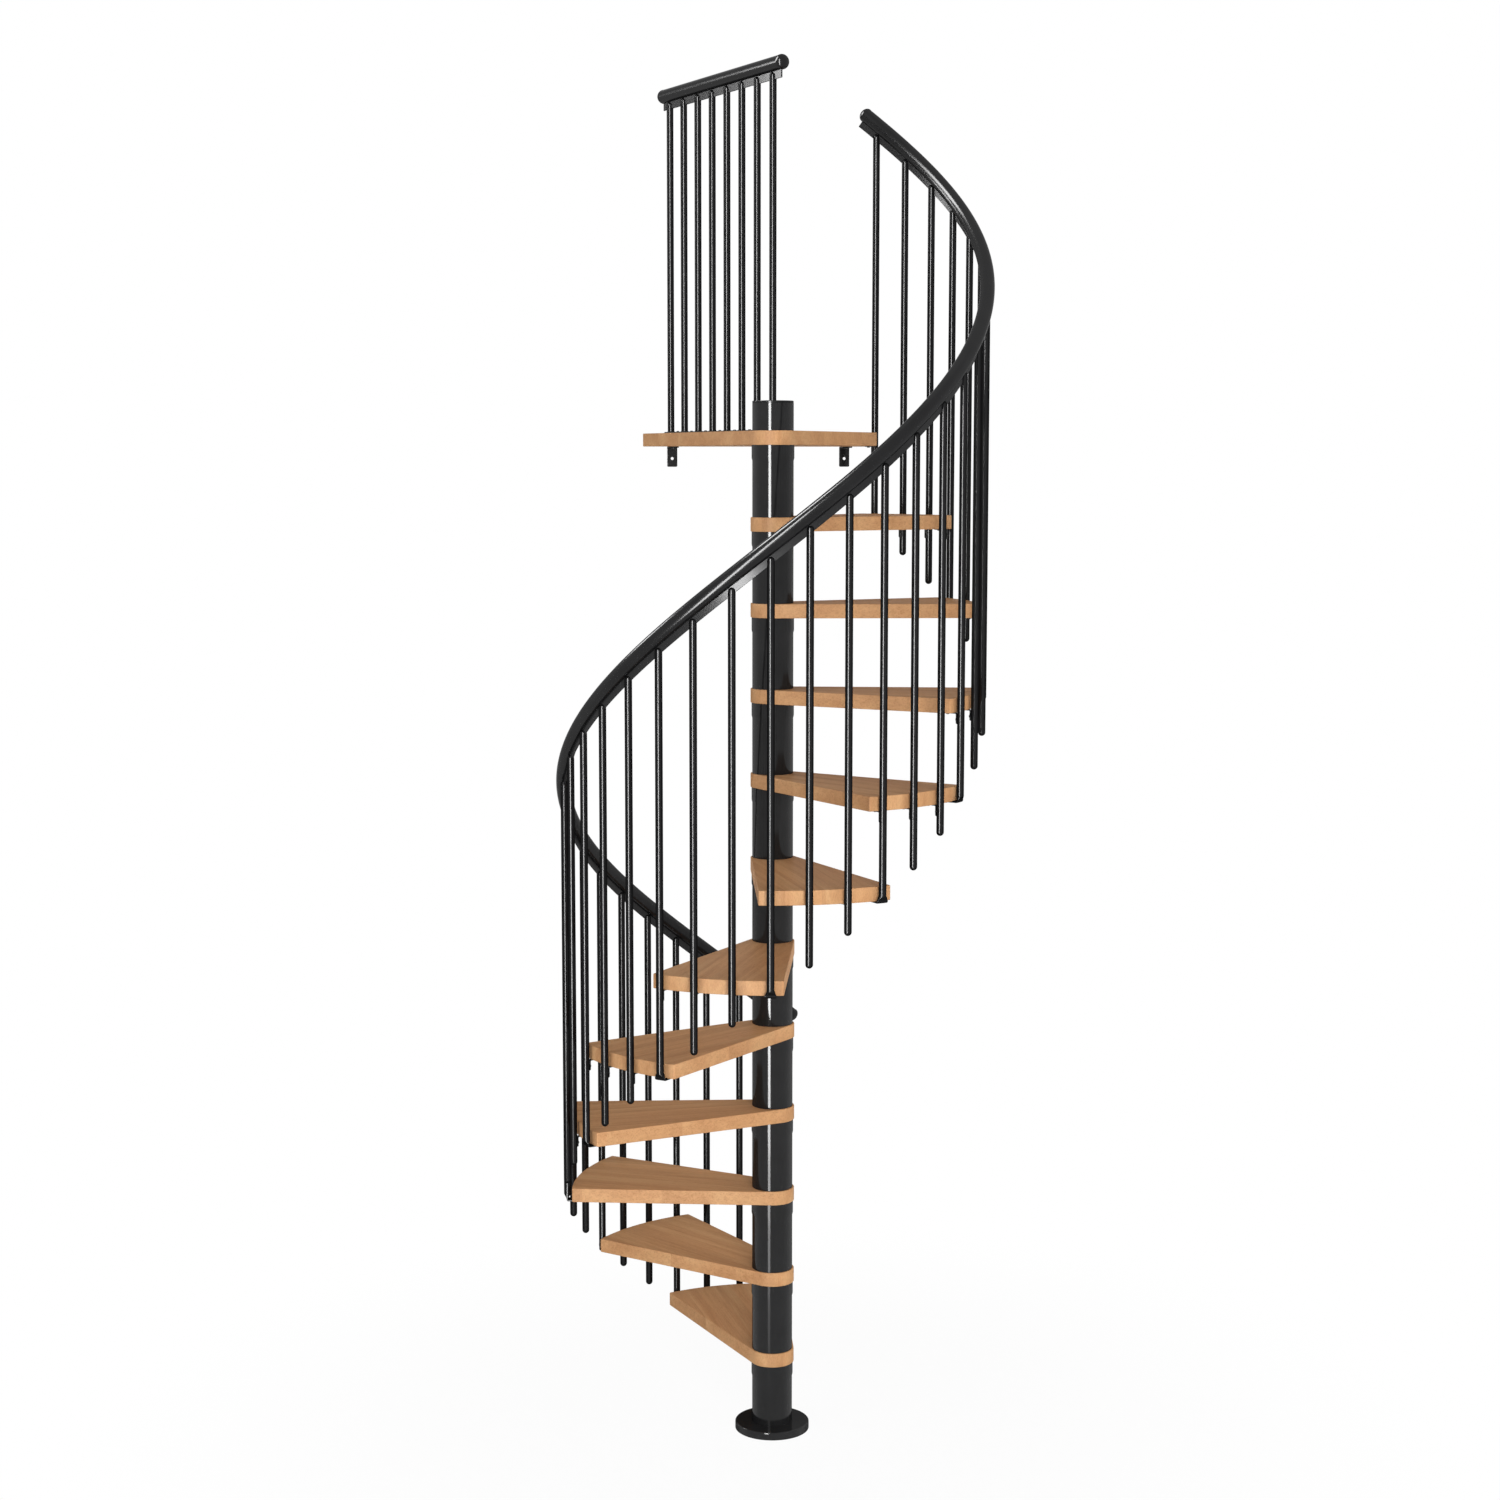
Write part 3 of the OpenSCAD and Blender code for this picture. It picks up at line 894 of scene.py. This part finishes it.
def angle_rings(level, drop, t, bend_r, width, end):
    """A bent angle bracket, from its hanging end up and along its level leg; outer corner at the origin."""
    half = t / 2
    w = width / 2
    outer = bend_r + t
    tip = tip_sections(bracket_tip(end), half, w)
    stations = [(-half, -drop + at, 90, *size) for at, *size in tip]
    stations.append((-half, -outer - BRACKET_RUN, 90, half, w, BRACKET_POWER))
    for i in range(BEND_STEPS + 1):
        heading = 90 * i / BEND_STEPS
        a = math.radians(heading)
        stations.append((-outer + (outer - half) * math.cos(a), -outer + (outer - half) * math.sin(a),
                         90 + heading, half, w, BRACKET_POWER))
    stations.append((-outer - BRACKET_RUN, -half, 180, half, w, BRACKET_POWER))
    stations += [(-level + at, -half, 180, *size) for at, *size in reversed(tip)]
    return bar_rings(stations, BRACKET_SIDES)


def screw_part(radius, height):
    """A pan head with a six-sided socket, its seat at Z = 0."""
    rings = [[(0, 0, 0)]] + [circle(r * radius, z * height, SCREW_SIDES) for r, z in SCREW_HEAD]
    socket = []
    for i in range(SCREW_SIDES):
        a = 360 * i / SCREW_SIDES
        reach = SOCKET_R * radius * math.cos(math.radians(30)) / math.cos(math.radians(a % 60 - 30))
        socket.append(polar(reach, a))
    rings.append([(p.x, p.y, SOCKET_RIM * height) for p in socket])
    rings.append([(p.x, p.y, SOCKET_FLOOR * height) for p in socket])
    rings.append([(0, 0, SOCKET_MIDDLE * height)])
    return loft(rings)


clip = loft(angle_rings(CLIP_LEVEL, CLIP_DROP, CLIP_T, CLIP_BEND, CLIP_W, CLIP_ROUND))
clips = Shape()
screws = Shape()
clip_screw = screw_part(*CLIP_SCREW)
face_down = turned(180, "X")
face_in = turned(-90, "Y")
spots = [(foot_angle(k - 1) + turn, k * RISE - BOARD_T) for k in range(1, TREADS + 1) for turn in (0, *TURNS)]
spots.append((foot_angle(TREADS), PLATFORM_Z - BOARD_T))
for angle, underside in spots:
    corner = at_ring(angle, underside) @ shifted(-BALUSTER_R - FIT, 0, 0)
    clips.add(clip, corner)
    screws.add(clip_screw, corner @ shifted(-CLIP_SCREW_IN, 0, -CLIP_T) @ face_down)
    screws.add(clip_screw, corner @ shifted(-CLIP_T, 0, -CLIP_SCREW_DROP) @ face_in)
for k in range(1, TREADS + 1):
    tab = at_ring(foot_angle(k), baluster_bottom(foot_angle(k)))
    screws.add(screw_part(*TAB_SCREW), tab @ shifted(-TAB_SCREW_IN, 0, 0) @ face_down)
shape_piece("rod_clips", clips, STEEL, "black_steel", "baluster_brackets")
shape_piece("clip_screws", screws, STEEL, "black_steel")

hanger = Shape().add(loft(angle_rings(WALL_REACH, WALL_DROP, WALL_T, WALL_BEND, WALL_W, WALL_ROUND)))
hole_profile = [(0, -HOLE_REACH), (WALL_HOLE_R, -HOLE_REACH), (WALL_HOLE_R, HOLE_REACH), (0, HOLE_REACH)]
hole = Shape().add(lathe(hole_profile, SIDES), shifted(-WALL_T / 2, 0, -WALL_HOLE_DROP) @ turned(90, "Y"))
middle = PLATFORM_W / 2 - PLATFORM_LEFT
for side, sign in (("left", -1), ("right", 1)):
    mesh = carved(hanger.mesh("hanger_" + side), hole)
    place = shifted(middle + sign * WALL_SPACING / 2, PLATFORM_BACK, PLATFORM_Z - BOARD_T) @ turned(90)
    piece("hanger_" + side, mesh, STEEL, "black_steel", "wall_bracket_" + side, matrix=place)
    heads = Shape()
    for reach in WALL_SCREWS_IN:
        heads.add(screw_part(*WALL_SCREW), place @ shifted(-reach, 0, -WALL_T) @ face_down)
    shape_piece("hanger_screws_" + side, heads, STEEL, "black_steel")


# Handrails

GROOVE = STRIP_T / 2 + FIT
RAIL_STEPS = 40
HELIX_STEPS = 170
END_STEPS = 10
END_SIDES = 48


def rail_section():
    """The round rail with the groove for the strip along its underside."""
    edge = math.degrees(math.asin(GROOVE / RAIL_R))
    points = [(p.x, p.y) for p in arc(RAIL_R, edge - 90, 270 - edge, RAIL_STEPS)]
    return points + [(-GROOVE, STRIP_SEAT - RAIL_R), (GROOVE, STRIP_SEAT - RAIL_R)]


def strip_section(show):
    """The flat strip with its lower edges broken."""
    half = STRIP_T / 2
    low = -RAIL_R - show
    high = STRIP_SEAT - RAIL_R - FIT
    return [(-half + STRIP_EDGE, low), (half - STRIP_EDGE, low), (half, low + STRIP_EDGE),
            (half, high), (-half, high), (-half, low + STRIP_EDGE)]


def helix_point(n, b, angle):
    """A point of a section on the helix: n outward from the rail's middle, b square to its slope."""
    a = math.radians(angle)
    lean = b * math.sin(SLOPE)
    return ((RING_R + n) * math.cos(a) + lean * math.sin(a),
            (RING_R + n) * math.sin(a) - lean * math.cos(a),
            helix_z(angle) + RAIL_LIFT + b * math.cos(SLOPE))


def helix_sweep(points):
    angles = [RAIL_FROM + (RAIL_TO - RAIL_FROM) * i / HELIX_STEPS for i in range(HELIX_STEPS + 1)]
    return loft([[helix_point(n, b, angle) for n, b in reversed(points)] for angle in angles])


def straight_sweep(points, length):
    return loft([[(x, n, b) for n, b in points] for x in (0, length)])


def end_part():
    """A domed plug that stands a little proud of the rail."""
    r = RAIL_R + END_PROUD
    turns = [math.radians(90 * i / END_STEPS) for i in range(END_STEPS)]
    dome = [(r * math.cos(t), END_RIM + END_DOME * math.sin(t)) for t in turns]
    return lathe([(0, 0), (r - END_EDGE, 0), (r, END_EDGE)] + dome + [(0, END_RIM + END_DOME)], END_SIDES)


rail = Shape().add(helix_sweep(rail_section()))
shape_piece("helix_rail", rail, PLASTIC, "black_plastic", "handrail", sharp=RAIL_SHARP)
strip = Shape().add(helix_sweep(strip_section(STRIP_SHOW)))
shape_piece("helix_strip", strip, STRIP, "strip_steel", "handrail_strip", sharp=RAIL_SHARP)

ends = Shape()
for angle, tilt in ((RAIL_FROM, math.pi / 2 + SLOPE), (RAIL_TO, SLOPE - math.pi / 2)):
    ends.add(end_part(), shifted(*helix_point(0, 0, angle)) @ turned(angle) @ Matrix.Rotation(tilt, 4, "X"))
shape_piece("helix_ends", ends, PLASTIC, "black_plastic", "handrail_caps")


# Landing balustrade

# Rounded end of the foot bar, as rows for tip_sections
BAR_TIP = ((0, 0.6, 0.001, 8), (0.0006, 1, 0, 12))

rail_len = LANDING_LEN + sum(LANDING_OVER)
rail_place = LANDING @ shifted(-LANDING_OVER[0], 0, LANDING_RAIL_Z)
rail = Shape().add(straight_sweep(rail_section(), rail_len), rail_place)
shape_piece("landing_rail", rail, PLASTIC, "black_plastic", "landing_handrail", sharp=RAIL_SHARP)
strip = Shape().add(straight_sweep(strip_section(LANDING_STRIP_SHOW), rail_len), rail_place)
shape_piece("landing_flat", strip, FLAT, "strip_steel", "landing_strip", sharp=RAIL_SHARP)
ends = Shape()
ends.add(end_part(), rail_place @ turned(-90, "Y"))
ends.add(end_part(), rail_place @ shifted(rail_len, 0, 0) @ turned(90, "Y"))
shape_piece("landing_ends", ends, PLASTIC, "black_plastic", "landing_caps")

rod_low = PLATFORM_Z + LANDING_FOOT_T
rod_len = LANDING_RAIL_Z - RAIL_R - FIT - rod_low
landing_rod = rod(rod_len, [[(0, 0, 0)]] + weld_rings(0, LANDING_WELD))
landing_slot = slot_cutter(LANDING_RAIL_Z - rod_low, LANDING_STRIP_SHOW, 0)
places = [LANDING @ shifted(i * LANDING_PITCH, 0, rod_low) @ turned(90) for i in range(LANDING_COUNT)]
mesh = slotted("landing_rods", [landing_rod] * LANDING_COUNT, places, landing_slot)
piece("landing_rods", mesh, ROD, "black_steel", "landing_balusters")

bar_from = -LANDING_FOOT_OVER[0]
bar_to = LANDING_LEN + LANDING_FOOT_OVER[1]
half_t = LANDING_FOOT_T / 2
tip = tip_sections(BAR_TIP, half_t, LANDING_FOOT_W / 2)
stations = [(bar_from + at, half_t, 0, *size) for at, *size in tip]
stations += [(bar_to - at, half_t, 0, *size) for at, *size in reversed(tip)]
bar = Shape().add(loft(bar_rings(stations, SIDES)), LANDING @ shifted(0, 0, PLATFORM_Z))
shape_piece("landing_bar", bar, STEEL, "black_steel", "landing_foot_bar")
heads = Shape()
for i in range(LANDING_COUNT - 1):
    heads.add(screw_part(*BAR_SCREW), LANDING @ shifted((i + 0.5) * LANDING_PITCH, 0, rod_low))
shape_piece("landing_bar_screws", heads, STEEL, "black_steel")

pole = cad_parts["center_pole"]
pole.data.materials.clear()
pole.data.materials.append(STEEL)


# Lamps

CAMERA_TURN = math.radians(-6.4)
LAMP_SIZE = (3.0, 3.0)
LAMP_AWAY = 7.0
LAMP_Z = 2.5
LAMP_TARGET = (0, 0, 1.7)
STREAK_W = 0.9
STREAK_AZIMUTH = 18
STREAK_AWAY = 4.0
# Brightness, lower end and upper end of each length of the tall lamp that makes the column's streak
STREAK = ((54, 0.3, 6.0), (49, 0.0, 0.3), (38, -0.3, 0.0),
          (20, -0.6, -0.3), (9, -0.9, -0.6), (2.5, -1.2, -0.9))


def area(name, energy, size, place, target, **sees):
    lamp = bpy.data.lights.new(name, "AREA")
    lamp.energy = energy
    lamp.shape = "RECTANGLE"
    lamp.size, lamp.size_y = size
    obj = bpy.data.objects.new(name, lamp)
    bpy.context.scene.collection.objects.link(obj)
    obj.location = place
    obj.rotation_euler = (Vector(target) - Vector(place)).to_track_quat("-Z", "Y").to_euler()
    obj.visible_camera = False
    for key, value in sees.items():
        setattr(obj, "visible_" + key, value)


def around(azimuth, distance, z):
    """A place seen from the column, at an angle to the left of the camera's side."""
    a = CAMERA_TURN - math.pi / 2 - math.radians(azimuth)
    return (distance * math.cos(a), distance * math.sin(a), z)


def gloss_lamp(name, bright, width, azimuth, distance, low, high):
    """An upright lamp that shows only as a highlight, as bright as stated."""
    middle = (low + high) / 2
    energy = bright * math.pi * width * (high - low)
    place = around(azimuth, distance, middle)
    area(name, energy, (width, high - low), place, (0, 0, middle), diffuse=False, transmission=False)


for name, energy, azimuth in (("key", 322, -12), ("fill_left", 98, 55), ("fill_right", 68, -70)):
    area(name, energy, LAMP_SIZE, around(azimuth, LAMP_AWAY, LAMP_Z), LAMP_TARGET, glossy=False)
for i, (bright, low, high) in enumerate(STREAK):
    gloss_lamp(f"streak_{i + 1}", bright, STREAK_W, STREAK_AZIMUTH, STREAK_AWAY, low, high)
gloss_lamp("left", bright=38, width=0.95, azimuth=98, distance=1.6, low=4.25, high=6.2)
gloss_lamp("back_left", bright=32, width=1.5, azimuth=116.2, distance=5.0, low=3.9, high=5.0)


# Surroundings and floor

SOFT_WORLD = 0.50
FLOOR_R = 3.4
FLOOR_MIDDLE_R = 0.6
FLOOR_Z = -0.0004
FLOOR_SIDES = 96
# Where the floor starts to fade to white, where it is white, and how white it is in the middle
FADE_FROM = 0.15 * FLOOR_R
FADE_TO = 0.62 * FLOOR_R
FLOOR_WHITE = 0.96


def light_rays(tree):
    """1 for rays that look at the background, straight or in a reflection."""
    path = tree.nodes.new("ShaderNodeLightPath")
    total = path.outputs["Is Camera Ray"]
    for name in ("Is Glossy Ray", "Is Transmission Ray"):
        top = tree.nodes.new("ShaderNodeMath")
        top.operation = "MAXIMUM"
        tree.links.new(total, top.inputs[0])
        tree.links.new(path.outputs[name], top.inputs[1])
        total = top.outputs[0]
    return total


def make_world():
    """White where it is looked at, and a softer light on the part."""
    world = bpy.data.worlds.new("studio")
    world.use_nodes = True
    tree = world.node_tree
    soft = tree.nodes["Background"]
    soft.inputs["Color"].default_value = (*WHITE, 1)
    soft.inputs["Strength"].default_value = SOFT_WORLD
    white = tree.nodes.new("ShaderNodeBackground")
    white.inputs["Color"].default_value = (*WHITE, 1)
    white.inputs["Strength"].default_value = 1.0
    pick = tree.nodes.new("ShaderNodeMixShader")
    tree.links.new(light_rays(tree), pick.inputs[0])
    tree.links.new(soft.outputs[0], pick.inputs[1])
    tree.links.new(white.outputs[0], pick.inputs[2])
    tree.links.new(pick.outputs[0], tree.nodes["World Output"].inputs["Surface"])
    return world


def make_floor():
    """A pale matt floor that is nearly white where it is looked at and fades into the background."""
    n = Nodes("pale_floor")
    n.tree.nodes.remove(n.bsdf)
    place = n.new("ShaderNodeTexCoord").outputs["Object"]
    grain = n.noise(place, 60, 2.0)
    matt = n.new("ShaderNodeBsdfDiffuse")
    n.link(n.ramp(grain, (0.3, (0.80, 0.80, 0.80)), (0.7, (0.83, 0.83, 0.83))), matt.inputs["Color"])
    glow = n.new("ShaderNodeEmission")
    reach = n.new("ShaderNodeVectorMath", operation="LENGTH")
    n.link(place, reach.inputs[0])
    fade = n.new("ShaderNodeMapRange", interpolation_type="SMOOTHSTEP")
    fade.inputs["From Min"].default_value = FADE_FROM
    fade.inputs["From Max"].default_value = FADE_TO
    fade.inputs["To Min"].default_value = FLOOR_WHITE
    fade.inputs["To Max"].default_value = 1.0
    n.link(reach.outputs["Value"], fade.inputs["Value"])
    share = n.math("MULTIPLY", fade.outputs[0], light_rays(n.tree))
    blend = n.new("ShaderNodeMixShader")
    n.link(share, blend.inputs[0])
    n.link(matt.outputs[0], blend.inputs[1])
    n.link(glow.outputs[0], blend.inputs[2])
    n.link(blend.outputs[0], n.tree.nodes["Material Output"].inputs["Surface"])
    return n.material


bpy.context.scene.world = make_world()
disc = Shape().add(loft([circle(r, FLOOR_Z, FLOOR_SIDES) for r in (FLOOR_MIDDLE_R, FLOOR_R)]))
disc_mesh = disc.mesh("floor")
disc_mesh.materials.append(make_floor())
floor = bpy.data.objects.new("floor", disc_mesh)
bpy.context.scene.collection.objects.link(floor)
floor.visible_glossy = False
floor.visible_shadow = False
floor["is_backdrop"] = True


# Camera, fitted to the photo; its pitch is in radians

CAMERA_PLACE = (-0.8385, -6.9106, 2.7449)
CAMERA_PITCH = 0.11383
CAMERA_LENS = 60.6
CAMERA_SENSOR = 36
CAMERA_REACH = 60

lens = bpy.data.cameras.new("camera")
lens.lens = CAMERA_LENS
lens.sensor_width = CAMERA_SENSOR
lens.clip_end = CAMERA_REACH
camera = bpy.data.objects.new("camera", lens)
bpy.context.scene.collection.objects.link(camera)
camera.location = CAMERA_PLACE
camera.rotation_euler = (math.pi / 2 - CAMERA_PITCH, 0, CAMERA_TURN)
bpy.context.scene.camera = camera
bpy.context.scene.view_settings.view_transform = "Standard"

low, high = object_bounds()
